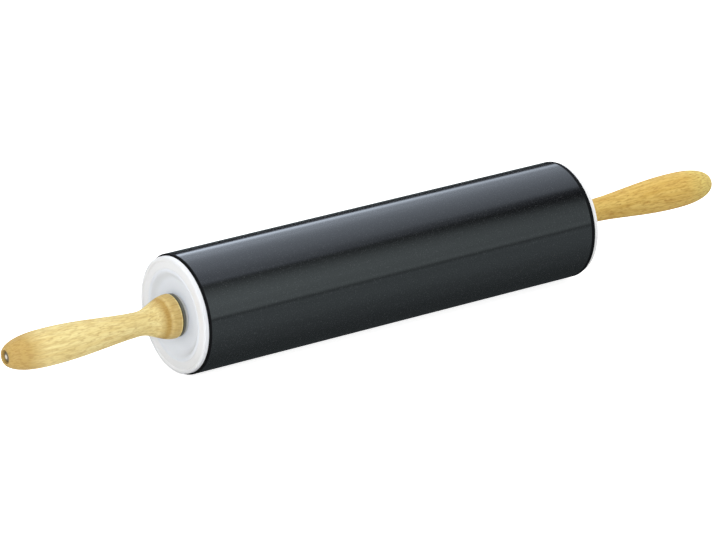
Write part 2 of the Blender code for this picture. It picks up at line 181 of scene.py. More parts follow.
COATING_DARK = (0.0036, 0.0039, 0.0045)
COATING_LIGHT = (0.0052, 0.0055, 0.0062)
COATING_SPECK = (0.023, 0.024, 0.026)
COATING_CLOUD = {"scale": 45.0}
COATING_SPECKS = {"scale": 1300.0, "detail": 1.0}
COATING_SPECK_RANGE = (0.56, 0.76)
COATING_ROUGHNESS = (0.31, 0.37)
COATING_PEEL = {"scale": 900.0, "detail": 2.0}
COATING_PEEL_DEPTH = 0.000016
COATING_SPECULAR = 0.05
CLEAR_COAT_ROUGHNESS = 0.09

EDGE_DARK = (0.0035, 0.0037, 0.0042)
EDGE_LIGHT = (0.0065, 0.0068, 0.0075)
EDGE_CLOUD = {"scale": 300.0}
EDGE_ROUGHNESS = (0.55, 0.70)
EDGE_SPECULAR = 0.06

# The middle's tones are darker and bluer than the ring's, as painted shade in the dish.
CAP_RING_TONES = ((0.795, 0.812, 0.845), (0.820, 0.836, 0.862))
CAP_MIDDLE_SHADED_TONES = ((0.735, 0.778, 0.850), (0.760, 0.800, 0.868))
CAP_CLOUD = {"scale": 60.0}
CAP_RING_ROUGHNESS = (0.30, 0.38)
CAP_MIDDLE_ROUGHNESS = (0.58, 0.70)
CAP_GRAIN = {"scale": 1800.0, "detail": 2.0}
CAP_GRAIN_DEPTH = 0.000012
# Shares by which each cap's colours go towards white: painted light, lifting the right cap's
# shaded side.
LEFT_CAP_PAINTED_LIGHT = 0.0
RIGHT_CAP_PAINTED_LIGHT = 0.70

WOOD_GROWTH = {"stretch": 0.07, "scale": 420.0, "detail": 4.0, "roughness": 0.6}
WOOD_GROWTH_RANGE = (0.36, 0.64)
WOOD_LINES = {"stretch": 0.14, "scale": 1300.0, "detail": 2.0}
WOOD_LINE_RANGE = (0.46, 0.62)
WOOD_RAYS = {"stretch": 0.21, "scale": 1300.0, "detail": 1.5}
WOOD_RAY_RANGE = (0.57, 0.70)
WOOD_RAY_SHARE = 0.65
WOOD_PORES = {"stretch": 0.12, "scale": 2600.0, "detail": 2.0}
WOOD_PORE_DEPTH = 0.00004
WOOD_ROUGHNESS = (0.50, 0.62)
WOOD_SPECULAR = 0.22

STEEL_CLOUD = {"scale": 220.0}
STEEL_SMOOTHER = 0.05
STEEL_ROUGHER = 0.07
TOOL_RINGS = {"stretch": 30.0, "scale": 120.0, "detail": 2.0}
TOOL_RING_DEPTH = 0.00001
ROD_DARK = (0.50, 0.51, 0.52)
ROD_LIGHT = (0.62, 0.63, 0.64)
# Painted highlight and painted shade of the riveted ends
ROD_PAINTED_HIGHLIGHT = (0.90, 0.84, 0.74)
ROD_PAINTED_SHADE = (0.20, 0.17, 0.11)
ROD_ROUGHNESS = (0.27, 0.38)

BUSH_DARK = (0.50, 0.50, 0.48)
BUSH_LIGHT = (0.56, 0.56, 0.54)
BUSH_CLOUD = {"scale": 150.0}
BUSH_ROUGHNESS = (0.33, 0.42)

# Positions of the sockets of a Mix node, for numbers and for colours
MIX_FACTOR = 0
MIX_NUMBERS = (2, 3)
MIX_COLORS = (6, 7)
MIX_COLOR_OUTPUT = 2

# Studio. The glow is what the camera sees the floor give off, and the fill is the light from
# all round. A lamp has its place, its size and its energy.
FLOOR_SIZE = 6.0
FLOOR_COLOR = (0.82, 0.82, 0.82)
FLOOR_GLOW = 0.88
SKY_FILL = 0.55
WHITE = (1.0, 1.0, 1.0, 1.0)
LAMPS = {
    "key": ((-0.80, -0.95, 0.90), 0.6, 1.4),
    "overhead": ((0.0, 0.15, 1.30), 1.0, 6.0),
    "left_side": ((-0.41, -0.25, 0.12), 0.22, 0.50),
    "left_rear": ((-0.70, 0.55, 0.50), 0.40, 1.2),
    "right_side": ((0.50, -0.25, 0.60), 0.40, 1.4),
}

# What the gloss mirrors round the axis: degrees from level in front, over the top to level
# behind, and the brightness there for a mirror direction that leans less or more to the side
LESS_TO_SIDE = 0.500
MORE_TO_SIDE = 0.575
MIRRORED_SKY = [
    (0.0, 0.60, 0.33),
    (3.0, 1.22, 0.84),
    (6.0, 1.33, 1.06),
    (12.0, 1.27, 0.93),
    (25.0, 1.48, 0.93),
    (37.0, 1.36, 0.78),
    (48.0, 1.02, 0.51),
    (53.0, 0.78, 0.25),
    (58.0, 0.58, 0.09),
    (61.0, 0.43, 0.0),
    (64.0, 0.43, 0.0),
    (67.0, 0.73, 0.0),
    (70.0, 1.16, 0.0),
    (73.0, 1.18, 0.04),
    (77.0, 1.14, 0.36),
    (82.0, 1.14, 0.95),
    (88.0, 1.26, 1.14),
    (99.0, 1.47, 1.24),
    (111.0, 1.48, 1.32),
    (124.0, 1.56, 1.28),
    (135.0, 1.84, 1.22),
    (145.0, 1.55, 1.05),
    (149.0, 1.63, 1.25),
    (153.0, 2.45, 1.65),
    (156.5, 3.20, 1.65),
    (159.5, 2.85, 1.15),
    (162.5, 1.00, 0.25),
    (164.5, 0.05, 0.0),
    (166.0, 0.0, 0.0),
]
LOW_SKY_TINT = (0.86, 1.0, 1.03)
HIGH_SKY_TINT = (0.89, 1.0, 1.16)
HIGH_SKY_START = 65.0

# What it mirrors of the floor, glowing for the gloss only: metres in front of or behind the
# axis, and the brightness there, dark near the axis as a painted shadow under the pin
MIRRORED_FLOOR = [
    (0.0, 0.0),
    (0.018, 0.06),
    (0.022, 0.085),
    (0.028, 0.135),
    (0.031, 0.165),
    (0.041, 0.30),
    (0.055, 0.43),
    (0.070, 0.58),
    (0.090, 0.66),
    (0.115, 0.72),
    (0.200, 0.73),
    (0.330, 0.80),
    (0.500, 0.71),
    (0.900, 0.51),
]
FLOOR_TINT = (0.85, 1.0, 1.05)
# Along the barrel it falls off by a factor from left to right, as painted light
FALL_START = -0.10
FALL_END = 0.15
FALL_FACTORS = (1.09, 0.94)
# Far behind the barrel it fades to a share, as painted shade
REAR_FADE_START = 0.18
REAR_FADE_END = 0.42
REAR_SHARE = 0.06
# Left of the barrel the floor is mirrored as evenly bright
LEFT_FLOOR_START = -0.135
LEFT_FLOOR_FULL = -0.165
LEFT_LEVEL = 0.90
# The sky is so too, for mirror directions that lean to the left but not far to the side
RIGHTWARD_FULL = 0.1
FAR_LEFT_START = -0.66
FAR_LEFT_FULL = -0.76


# Outlines and meshes


def filleted(corners):
    """Points round a closed outline of (radius, station, fillet) corners, with true arcs."""
    points = []
    for index, (x, z, fillet) in enumerate(corners):
        corner = Vector((x, z))
        before = Vector(corners[index - 1][:2]) - corner
        after = Vector(corners[(index + 1) % len(corners)][:2]) - corner
        half_angle = before.angle(after) / 2
        if fillet == 0:
            points.append(corner)
            continue
        start = corner + before.normalized() * (fillet / math.tan(half_angle))
        end = corner + after.normalized() * (fillet / math.tan(half_angle))
        inward = (before.normalized() + after.normalized()).normalized()
        middle = corner + inward * (fillet / math.sin(half_angle))
        sweep = (start - middle).angle_signed(end - middle)
        for step in range(ARC_STEPS + 1):
            turn = Matrix.Rotation(-sweep * step / ARC_STEPS, 2)
            points.append(middle + turn @ (start - middle))
    return points


def ring_position(radius, station, angle):
    """Place at a radius and station, at an angle round the axis."""
    return Vector((station, radius * math.sin(angle), -radius * math.cos(angle)))


def turned(outline, segments):
    """Bmesh of a closed outline turned about the spin axis."""
    shape = bmesh.new()
    rings = []
    for step in range(segments):
        angle = 2 * math.pi * step / segments
        rings.append([shape.verts.new(ring_position(r, s, angle)) for r, s in outline])
    count = len(outline)
    for step in range(segments):
        here = rings[step]
        there = rings[(step + 1) % segments]
        for i in range(count):
            j = (i + 1) % count
            shape.faces.new((here[i], here[j], there[j], there[i]))
    bmesh.ops.recalc_face_normals(shape, faces=shape.faces)
    return shape


def radial_prism(outline, angle, thickness):
    """Bmesh of a flat outline in a plane through the axis, with a thickness across it."""
    shape = bmesh.new()
    across = Vector((0.0, math.cos(angle), math.sin(angle)))
    sides = []
    for shift in (-thickness / 2, thickness / 2):
        ring = [ring_position(r, s, angle) + across * shift for r, s in outline]
        sides.append([shape.verts.new(place) for place in ring])
    shape.faces.new(sides[0])
    shape.faces.new(reversed(sides[1]))
    for i in range(len(outline)):
        j = (i + 1) % len(outline)
        shape.faces.new((sides[0][i], sides[1][i], sides[1][j], sides[0][j]))
    bmesh.ops.recalc_face_normals(shape, faces=shape.faces)
    return shape


def mesh_object(name, shape):
    mesh = bpy.data.meshes.new(name)
    shape.to_mesh(mesh)
    shape.free()
    obj = bpy.data.objects.new(name, mesh)
    bpy.context.scene.collection.objects.link(obj)
    return obj


def joined(obj, additions):
    """Joins closed shapes onto an object with Booleans, which are then applied."""
    helpers = []
    for index, shape in enumerate(additions):
        helper = mesh_object(f"{obj.name}_addition_{index}", shape)
        boolean = obj.modifiers.new(helper.name, "BOOLEAN")
        boolean.operation = "UNION"
        boolean.solver = "EXACT"
        boolean.object = helper
        helpers.append(helper)
    graph = bpy.context.evaluated_depsgraph_get()
    mesh = bpy.data.meshes.new_from_object(obj.evaluated_get(graph))
    obj.modifiers.clear()
    obj.data = mesh
    for helper in helpers:
        bpy.data.objects.remove(helper, do_unlink=True)


def finish_piece(obj, material, body, slot, *nodes):
    """Shades a piece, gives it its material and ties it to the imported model."""
    obj.data.materials.clear()
    obj.data.materials.append(material)
    obj.data.shade_smooth()
    obj.data.set_sharp_from_angle(angle=SHARP_ANGLE)
    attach(obj, body)
    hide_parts(*nodes)


def turned_about(obj, name):
    """Copy of a right-hand piece, turned end for end to the left."""
    mesh = obj.data.copy()
    mesh.name = name
    mesh.transform(Matrix.Rotation(math.pi, 4, "Z"))
    other = bpy.data.objects.new(name, mesh)
    bpy.context.scene.collection.objects.link(other)
    return other


def tube_outline():
    return filleted(
        [
            (TUBE_RADIUS, TUBE_END, TUBE_EDGE_ROUND),
            (TUBE_RADIUS, TUBE_END - RIGHT_EDGE_BAND, 0),
            (TUBE_RADIUS, LEFT_EDGE_BAND - TUBE_END, 0),
            (TUBE_RADIUS, -TUBE_END, TUBE_EDGE_ROUND),
            (TUBE_BORE, -TUBE_END, 0),
            (TUBE_BORE, TUBE_END, 0),
        ]
    )


def cap_outline():
    groove_middle = (GROOVE_OUTER + GROOVE_INNER) / 2
    lip_inner = FLANGE_RADIUS - LIP_WIDTH
    return filleted(
        [
            (FLANGE_RADIUS, LIP_FACE, LIP_ROUND),
            (FLANGE_RADIUS, FLANGE_SEAT, 0),
            (SKIRT_RADIUS, FLANGE_SEAT, 0),
            (SKIRT_RADIUS, SKIRT_END, SKIRT_LEAD_IN),
            (SKIRT_BORE, SKIRT_END, 0),
            (SKIRT_BORE, RING_BACK, 0),
            (DISH_TOP_RADIUS, RING_BACK, 0),
            (DISH_FLOOR_RADIUS, FLOOR_BACK, 0),
            (HUB_RADIUS, FLOOR_BACK, 0),
            (HUB_RADIUS, HUB_END, HUB_ROUND),
            (HUB_BORE, HUB_END, 0),
            (HUB_BORE, DISH_FLOOR, 0),
            (DISH_FLOOR_RADIUS, DISH_FLOOR, DISH_ROUND),
            (DISH_TOP_RADIUS, RING_FACE, DISH_EDGE_ROUND),
            (GROOVE_INNER, RING_FACE, GROOVE_ROUND / 2),
            (groove_middle, RING_FACE - GROOVE_DEPTH, GROOVE_ROUND),
            (GROOVE_OUTER, RING_FACE, GROOVE_ROUND / 2),
            (lip_inner, RING_FACE, LIP_FOOT_ROUND),
            (lip_inner + LIP_SLOPE_RUN, LIP_FACE, LIP_INNER_ROUND),
        ]
    )


def cap_additions():
    """Gussets behind the cap's face, and crush ribs along its skirt between them."""
    inner = HUB_RADIUS - GUSSET_ROOT
    outer = SKIRT_BORE + GUSSET_ROOT
    face_middle = (DISH_FLOOR + FLOOR_BACK) / 2
    ring_middle = (RING_FACE + RING_BACK) / 2
    gusset = [
        (inner, face_middle),
        (DISH_FLOOR_RADIUS, face_middle),
        (DISH_TOP_RADIUS, ring_middle),
        (outer, ring_middle),
        (outer, RING_BACK - GUSSET_SKIRT_DEPTH),
        (inner, FLOOR_BACK - GUSSET_HUB_DEPTH),
    ]
    rib_top = CRUSH_RIB_LOW + CRUSH_RIB_LENGTH
    rib_root = SKIRT_RADIUS - GUSSET_ROOT
    rib = [
        (rib_root, CRUSH_RIB_LOW),
        (CRUSH_RIB_REACH, CRUSH_RIB_LOW),
        (CRUSH_RIB_REACH, rib_top),
        (rib_root, rib_top),
    ]
    additions = []
    for index in range(GUSSET_COUNT):
        angle = 2 * math.pi * index / GUSSET_COUNT
        additions.append(radial_prism(gusset, angle, GUSSET_THICKNESS))
        between = angle + math.pi / GUSSET_COUNT
        additions.append(radial_prism(rib, between, CRUSH_RIB_WIDTH))
    return additions


def washer_outline():
    return filleted(
        [
            (WASHER_RADIUS, WASHER_FACE, WASHER_ROUND),
            (WASHER_RADIUS, WASHER_SEAT, WASHER_ROUND),
            (WASHER_HOLE_RADIUS, WASHER_SEAT, 0),
            (WASHER_HOLE_RADIUS, WASHER_FACE, 0),
        ]
    )


def handle_curve():
    """Points down the handle's outside, from its tip to the edge of its collar."""
    tip_span = HANDLE_LENGTH - GRIP_STATION
    tip_share = (1 - (TIP_RADIUS / GRIP_RADIUS) ** TIP_FULLNESS) ** (1 / TIP_FULLNESS)
    points = []
    for step in range(CURVE_STEPS):
        t = tip_share * math.sin(math.pi / 2 * (1 - step / CURVE_STEPS))
        radius = GRIP_RADIUS * (1 - t**TIP_FULLNESS) ** (1 / TIP_FULLNESS)
        points.append((radius, GRIP_STATION + tip_span * t / tip_share))
    for step in range(CURVE_STEPS):
        t = 1 - step / CURVE_STEPS
        rise = math.sin(t * math.pi / 2) ** GRIP_RISE_POWER
        station = NECK_STATION + (GRIP_STATION - NECK_STATION) * t
        points.append((NECK_RADIUS + (GRIP_RADIUS - NECK_RADIUS) * rise, station))
    for step in range(CURVE_STEPS):
        t = step / CURVE_STEPS
        rise = (1 - math.cos(math.pi * t)) / 2
        station = NECK_STATION + (COLLAR_LAND - NECK_STATION) * t
        points.append((NECK_RADIUS + (COLLAR_RADIUS - NECK_RADIUS) * rise, station))
    return [(radius, HANDLE_BASE + station) for radius, station in points]


def handle_outline():
    tip = HANDLE_BASE + HANDLE_LENGTH
    counterbore_floor = tip - COUNTERBORE_DEPTH
    corners = [(radius, station, 0) for radius, station in handle_curve()]
    corners[0] = (*corners[0][:2], TIP_EDGE_ROUND)
    corners += [
        (COLLAR_RADIUS, HANDLE_BASE + COLLAR_LAND, 0),
        (COLLAR_RADIUS, HANDLE_BASE, COLLAR_EDGE_ROUND),
        (SHANK_HOLE_RADIUS, HANDLE_BASE, 0),
        (SHANK_HOLE_RADIUS, counterbore_floor, 0),
        (COUNTERBORE_RADIUS, counterbore_floor, 0),
        (COUNTERBORE_RADIUS, tip, TIP_EDGE_ROUND / 2),
    ]
    return filleted(corners)


# Materials


def add_node(tree, kind, inputs=None, **settings):
    """Adds a node with its properties, and its sockets' values or links from other sockets."""
    node = tree.nodes.new(kind)
    for key, value in settings.items():
        setattr(node, key, value)
    for key, value in (inputs or {}).items():
        if isinstance(value, bpy.types.NodeSocket):
            tree.links.new(value, node.inputs[key])
        else:
            node.inputs[key].default_value = value
    return node


def math_node(tree, operation, *values):
    inputs = dict(enumerate(values))
    return add_node(tree, "ShaderNodeMath", inputs, operation=operation).outputs[0]


def remap(tree, value, low, high, to_low=0.0, to_high=1.0):
    """Takes a value from one range to another, and keeps it in there."""
    inputs = {
        "Value": value,
        "From Min": low,
        "From Max": high,
        "To Min": to_low,
        "To Max": to_high,
    }
    return add_node(tree, "ShaderNodeMapRange", inputs).outputs[0]


def spread(tree, noise, pair):
    """Takes noise from low and high to the two values of a pair."""
    return remap(tree, noise, NOISE_LOW, NOISE_HIGH, *pair)


def mix_color(tree, factor, first, second, blend="MIX"):
    node = add_node(tree, "ShaderNodeMix", data_type="RGBA", blend_type=blend)
    for place, value in zip((MIX_FACTOR, *MIX_COLORS), (factor, first, second)):
        socket = node.inputs[place]
        if isinstance(value, bpy.types.NodeSocket):
            tree.links.new(value, socket)
        elif isinstance(value, tuple):
            socket.default_value = (*value, 1.0)
        else:
            socket.default_value = value
    return node.outputs[MIX_COLOR_OUTPUT]


def stretched_noise(tree, coordinates, scale, stretch=1.0, detail=3.0, roughness=0.5, shift=0.0):
    """Noise with features drawn out along X when the stretch is under one."""
    inputs = {"Vector": coordinates, "Scale": (stretch, 1.0, 1.0), "Location": (shift, 0.0, 0.0)}
    mapping = add_node(tree, "ShaderNodeMapping", inputs)
    inputs = {
        "Vector": mapping.outputs[0],
        "Scale": scale,
        "Detail": detail,
        "Roughness": roughness,
    }
    return add_node(tree, "ShaderNodeTexNoise", inputs).outputs[0]


def bump(tree, height, distance):
    inputs = {"Height": height, "Distance": distance, "Strength": 1.0}
    return add_node(tree, "ShaderNodeBump", inputs).outputs[0]


def axis_components(tree, vector):
    return add_node(tree, "ShaderNodeSeparateXYZ", {0: vector}).outputs


def distance_from_axis(tree, axes):
    squares = [math_node(tree, "POWER", axes[name], 2.0) for name in ("Y", "Z")]
    return math_node(tree, "SQRT", math_node(tree, "ADD", *squares))


def new_material(name):
    """A material with its node tree, its shader and the piece's own coordinates."""
    material = bpy.data.materials.new(name)
    material.use_nodes = True
    tree = material.node_tree
    place = add_node(tree, "ShaderNodeTexCoord").outputs["Object"]
    return material, tree, tree.nodes["Principled BSDF"], place


def coating_material():
    """Black non-stick coating: fine pale specks, a soft gloss and a thin clear top layer."""
    material, tree, shader, place = new_material("nonstick_coating")
    cloud = stretched_noise(tree, place, **COATING_CLOUD)
    speck = stretched_noise(tree, place, **COATING_SPECKS)
    body = mix_color(tree, cloud, COATING_DARK, COATING_LIGHT)
    speck_share = remap(tree, speck, *COATING_SPECK_RANGE)
    color = mix_color(tree, speck_share, body, COATING_SPECK)
    tree.links.new(color, shader.inputs["Base Color"])
    tree.links.new(spread(tree, cloud, COATING_ROUGHNESS), shader.inputs["Roughness"])
    peel = stretched_noise(tree, place, **COATING_PEEL)
    tree.links.new(bump(tree, peel, COATING_PEEL_DEPTH), shader.inputs["Normal"])
    shader.inputs["Specular IOR Level"].default_value = COATING_SPECULAR
    shader.inputs["Coat Weight"].default_value = 1.0
    shader.inputs["Coat Roughness"].default_value = CLEAR_COAT_ROUGHNESS
    return material


def edge_material():
    """Dull black of the tube's turned ends, where the coating is thin and dry."""
    material, tree, shader, place = new_material("dull_tube_edge")
    cloud = stretched_noise(tree, place, **EDGE_CLOUD)
    color = mix_color(tree, cloud, EDGE_DARK, EDGE_LIGHT)
    tree.links.new(color, shader.inputs["Base Color"])
    tree.links.new(spread(tree, cloud, EDGE_ROUGHNESS), shader.inputs["Roughness"])
    shader.inputs["Specular IOR Level"].default_value = EDGE_SPECULAR
    return material


def lifted(tones, painted_light):
    """Colours taken towards white by a share, as painted light."""
    return [tuple(channel + (1.0 - channel) * painted_light for channel in tone) for tone in tones]


def cap_material(name, painted_light):
    """Cool white moulded plastic: satin outer ring, matte middle inside the groove in painted
    shade.
    """
    material, tree, shader, place = new_material(name)
    cloud = stretched_noise(tree, place, **CAP_CLOUD)
    ring = mix_color(tree, cloud, *lifted(CAP_RING_TONES, painted_light))
    # Painted shade: inside the groove the tones are darker and bluer.
    middle = mix_color(tree, cloud, *lifted(CAP_MIDDLE_SHADED_TONES, painted_light))
    radius = distance_from_axis(tree, axis_components(tree, place))
    ring_share = remap(tree, radius, GROOVE_INNER, GROOVE_OUTER)
    tree.links.new(mix_color(tree, ring_share, middle, ring), shader.inputs["Base Color"])
    satin = spread(tree, cloud, CAP_RING_ROUGHNESS)
    matte = spread(tree, cloud, CAP_MIDDLE_ROUGHNESS)
    inputs = {MIX_FACTOR: ring_share, MIX_NUMBERS[0]: matte, MIX_NUMBERS[1]: satin}
    mixed = add_node(tree, "ShaderNodeMix", inputs)
    tree.links.new(mixed.outputs[0], shader.inputs["Roughness"])
    grain = stretched_noise(tree, place, **CAP_GRAIN)
    tree.links.new(bump(tree, grain, CAP_GRAIN_DEPTH), shader.inputs["Normal"])
    return material


def wood_material(name, pale, mid, streak, ray, ends, painted_end_shares, shift):
    """Turned beech: streaks along the handle, short dark rays, and its two ends toned apart.

    The streaks darken by a factor. The shares are those of the ends' tone at collar and tip:
    painted shade on the left handle, painted light on the right. The collar has less of it at
    its base and in a ring of painted highlight, and none on its edge.
    """
    material, tree, shader, place = new_material(name)
    growth = stretched_noise(tree, place, **WOOD_GROWTH, shift=shift)
    color = mix_color(tree, remap(tree, growth, *WOOD_GROWTH_RANGE), pale, mid)
    reach = math_node(tree, "ABSOLUTE", axis_components(tree, place)["X"])
    station = math_node(tree, "SUBTRACT", reach, HANDLE_BASE)
    # Painted tone at the collar: shade on the left handle, light on the right.
    at_collar = remap(tree, station, COLLAR_TONE_END, COLLAR_TONE_START, 0.0, painted_end_shares[0])
    to_base = remap(tree, station, COLLAR_PALE_START, COLLAR_PALE_END, COLLAR_PALE_SHARE, 1.0)
    # A ring with less of that tone is a painted highlight.
    past_highlight = math_node(tree, "SUBTRACT", station, COLLAR_HIGHLIGHT_STATION)
    off_highlight = math_node(tree, "ABSOLUTE", past_highlight)
    ring = remap(tree, off_highlight, COLLAR_HIGHLIGHT_INNER, COLLAR_HIGHLIGHT_OUTER, COLLAR_HIGHLIGHT_SHARE, 1.0)
    edge = remap(tree, station, COLLAR_EDGE_ROUND, COLLAR_LAND)
    for share in (to_base, ring, edge):
        at_collar = math_node(tree, "MULTIPLY", at_collar, share)
    # Painted tone at the tip as well.
    at_tip = remap(tree, station, TIP_TONE_START, TIP_TONE_END, 0.0, painted_end_shares[1])
    toned = math_node(tree, "MAXIMUM", at_collar, at_tip)
    color = mix_color(tree, toned, color, ends)
    lines = stretched_noise(tree, place, **WOOD_LINES, shift=shift)
    line_share = remap(tree, lines, *WOOD_LINE_RANGE)
    color = mix_color(tree, line_share, color, streak, blend="MULTIPLY")
    rays = stretched_noise(tree, place, **WOOD_RAYS, shift=shift)
    ray_share = remap(tree, rays, *WOOD_RAY_RANGE, 0.0, WOOD_RAY_SHARE)
    color = mix_color(tree, ray_share, color, ray)
    tree.links.new(color, shader.inputs["Base Color"])
    tree.links.new(spread(tree, rays, WOOD_ROUGHNESS), shader.inputs["Roughness"])
    pores = stretched_noise(tree, place, **WOOD_PORES, shift=shift)
    tree.links.new(bump(tree, pores, WOOD_PORE_DEPTH), shader.inputs["Normal"])
    shader.inputs["Specular IOR Level"].default_value = WOOD_SPECULAR
    return material


def finish_metal(tree, shader, color, rings, roughness):
    """Gives metal its colour, and its gloss and relief from rings of tool marks."""
    tree.links.new(color, shader.inputs["Base Color"])
    tree.links.new(spread(tree, rings, roughness), shader.inputs["Roughness"])
    tree.links.new(bump(tree, rings, TOOL_RING_DEPTH), shader.inputs["Normal"])
    shader.inputs["Metallic"].default_value = 1.0


def steel_material(name, dark, light, roughness):
    """Turned steel with fine rings of tool marks round the axis and a thin oily clouding."""
    material, tree, shader, place = new_material(name)
    cloud = stretched_noise(tree, place, **STEEL_CLOUD)
    rings = stretched_noise(tree, place, **TOOL_RINGS)
    color = mix_color(tree, cloud, dark, light)
    pair = (roughness - STEEL_SMOOTHER, roughness + STEEL_ROUGHER)
    finish_metal(tree, shader, color, rings, pair)
    return material


def rod_material():
    """Drawn bright rod whose riveted ends have a pale painted highlight and a brown painted
    shade.
    """
    material, tree, shader, place = new_material("drawn_rod")
    rings = stretched_noise(tree, place, **TOOL_RINGS)
    drawn = mix_color(tree, rings, ROD_DARK, ROD_LIGHT)
    axes = axis_components(tree, place)
    radius = distance_from_axis(tree, axes)
    # Painted shade in brown round the middle of the riveted end, and a painted highlight in it.
    outside = remap(tree, radius, RIVET_BRIGHT_RADIUS, RIVET_DARK_RADIUS)
    reach = math_node(tree, "ABSOLUTE", axes["X"])
    at_end = remap(tree, reach, RIVET_START - COUNTERBORE_DEPTH, RIVET_START)
    painted_shade_share = math_node(tree, "MULTIPLY", outside, at_end)
    highlighted_end = mix_color(tree, at_end, drawn, ROD_PAINTED_HIGHLIGHT)
    color = mix_color(tree, painted_shade_share, highlighted_end, ROD_PAINTED_SHADE)
    finish_metal(tree, shader, color, rings, ROD_ROUGHNESS)
    return material


def bush_material():
    """Grey bearing plastic with a faint clouding in tone and gloss."""
    material, tree, shader, place = new_material("bush_plastic")
    cloud = stretched_noise(tree, place, **BUSH_CLOUD)
    color = mix_color(tree, cloud, BUSH_DARK, BUSH_LIGHT)
    tree.links.new(color, shader.inputs["Base Color"])
    tree.links.new(spread(tree, cloud, BUSH_ROUGHNESS), shader.inputs["Roughness"])
    return material


def dress_nodes(material, *names):
    """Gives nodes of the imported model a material."""
    for name in names:
        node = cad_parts[name]
        for slot in node.material_slots:
            slot.material = material


# Studio


def make_camera():
    azimuth = math.radians(CAMERA_AZIMUTH)
    elevation = math.radians(CAMERA_ELEVATION)
    level = Vector((math.sin(azimuth), -math.cos(azimuth), 0.0))
    back = level * math.cos(elevation) + Vector((0.0, 0.0, math.sin(elevation)))
    right = Vector((math.cos(azimuth), math.sin(azimuth), 0.0))
    up = back.cross(right)
    place = back * CAMERA_DISTANCE - right * BARREL_RIGHT_OF_MIDDLE - up * BARREL_ABOVE_MIDDLE
    camera = bpy.data.cameras.new("camera")
    camera.lens = CAMERA_LENS
    camera.sensor_width = SENSOR_WIDTH
    obj = bpy.data.objects.new("camera", camera)
    turn = Matrix((right, up, back)).transposed().to_4x4()
    obj.matrix_world = Matrix.Translation(place) @ turn
    bpy.context.scene.collection.objects.link(obj)
    bpy.context.scene.camera = obj


def make_lamp(name, place, size, energy):
    """Soft square lamp aimed at the middle of the barrel, and left out of what gloss mirrors."""
    lamp = bpy.data.lights.new(name, "AREA")
    lamp.size = size
    lamp.energy = energy
    obj = bpy.data.objects.new(name, lamp)
    obj.location = place
    obj.rotation_euler = (-Vector(place)).to_track_quat("-Z", "Y").to_euler()
    obj.visible_glossy = False
    bpy.context.scene.collection.objects.link(obj)


def color_ramp(tree, value, places, colors, peak):
    """Colour ramp from 0 to the last place, of colours given as shares of a peak brightness."""
    span = places[-1]
    ramp = add_node(tree, "ShaderNodeValToRGB", {"Fac": remap(tree, value, 0.0, span)})
    elements = ramp.color_ramp.elements
    elements.remove(elements[-1])
    for index, (place, color) in enumerate(zip(places, colors)):
        element = elements[0] if index == 0 else elements.new(place / span)
        element.position = place / span
        element.color = (*[channel / peak for channel in color], 1.0)
    return ramp.outputs["Color"]


def tinted(level, tint):
    """Colour of a grey level under a tint."""
    return [level * channel for channel in tint]


def seen_directly(tree, path):
    """1 for rays from the camera, also through clear things, and 0 for any others."""
    camera = path.outputs["Is Camera Ray"]
    return math_node(tree, "MAXIMUM", camera, path.outputs["Is Transmission Ray"])


def mix_shader(tree, factor, first, second):
    inputs = {0: factor, 1: first.outputs[0], 2: second.outputs[0]}
    return add_node(tree, "ShaderNodeMixShader", inputs)


def make_floor():
    """Pale floor that takes the shadow; white to the camera, to the gloss a painted-shadow
    gradient.
    """
    bpy.ops.mesh.primitive_plane_add(size=FLOOR_SIZE, location=(0.0, 0.0, -TUBE_RADIUS))
    floor = bpy.context.object
    floor.name = "floor"
    material = bpy.data.materials.new("pale_floor")
    material.use_nodes = True
    tree = material.node_tree
    tree.nodes.clear()
    path = add_node(tree, "ShaderNodeLightPath")
    glow = math_node(tree, "MULTIPLY", seen_directly(tree, path), FLOOR_GLOW)
    diffuse = add_node(tree, "ShaderNodeBsdfDiffuse", {"Color": (*FLOOR_COLOR, 1.0)})
    white = add_node(tree, "ShaderNodeEmission", {"Strength": glow})
    lit = add_node(tree, "ShaderNodeAddShader", {0: diffuse.outputs[0], 1: white.outputs[0]})
    axes = axis_components(tree, add_node(tree, "ShaderNodeTexCoord").outputs["Object"])
    away = math_node(tree, "ABSOLUTE", axes["Y"])
    places = [metres for metres, _ in MIRRORED_FLOOR]
    colors = [tinted(level, FLOOR_TINT) for _, level in MIRRORED_FLOOR]
    color = color_ramp(tree, away, places, colors, 1.0)
    fall = remap(tree, axes["X"], FALL_START, FALL_END, *FALL_FACTORS)
    rear = remap(tree, axes["Y"], REAR_FADE_START, REAR_FADE_END, 1.0, REAR_SHARE)
    falls = math_node(tree, "MULTIPLY", fall, rear)
    color = mix_color(tree, 1.0, color, falls, blend="MULTIPLY")
    left_share = remap(tree, axes["X"], LEFT_FLOOR_START, LEFT_FLOOR_FULL)
    color = mix_color(tree, left_share, color, (LEFT_LEVEL, LEFT_LEVEL, LEFT_LEVEL))
    mirrored = add_node(tree, "ShaderNodeEmission", {"Color": color})
    total = mix_shader(tree, path.outputs["Is Glossy Ray"], lit, mirrored)
    output = add_node(tree, "ShaderNodeOutputMaterial")
    tree.links.new(total.outputs[0], output.inputs["Surface"])
    floor.data.materials.append(material)


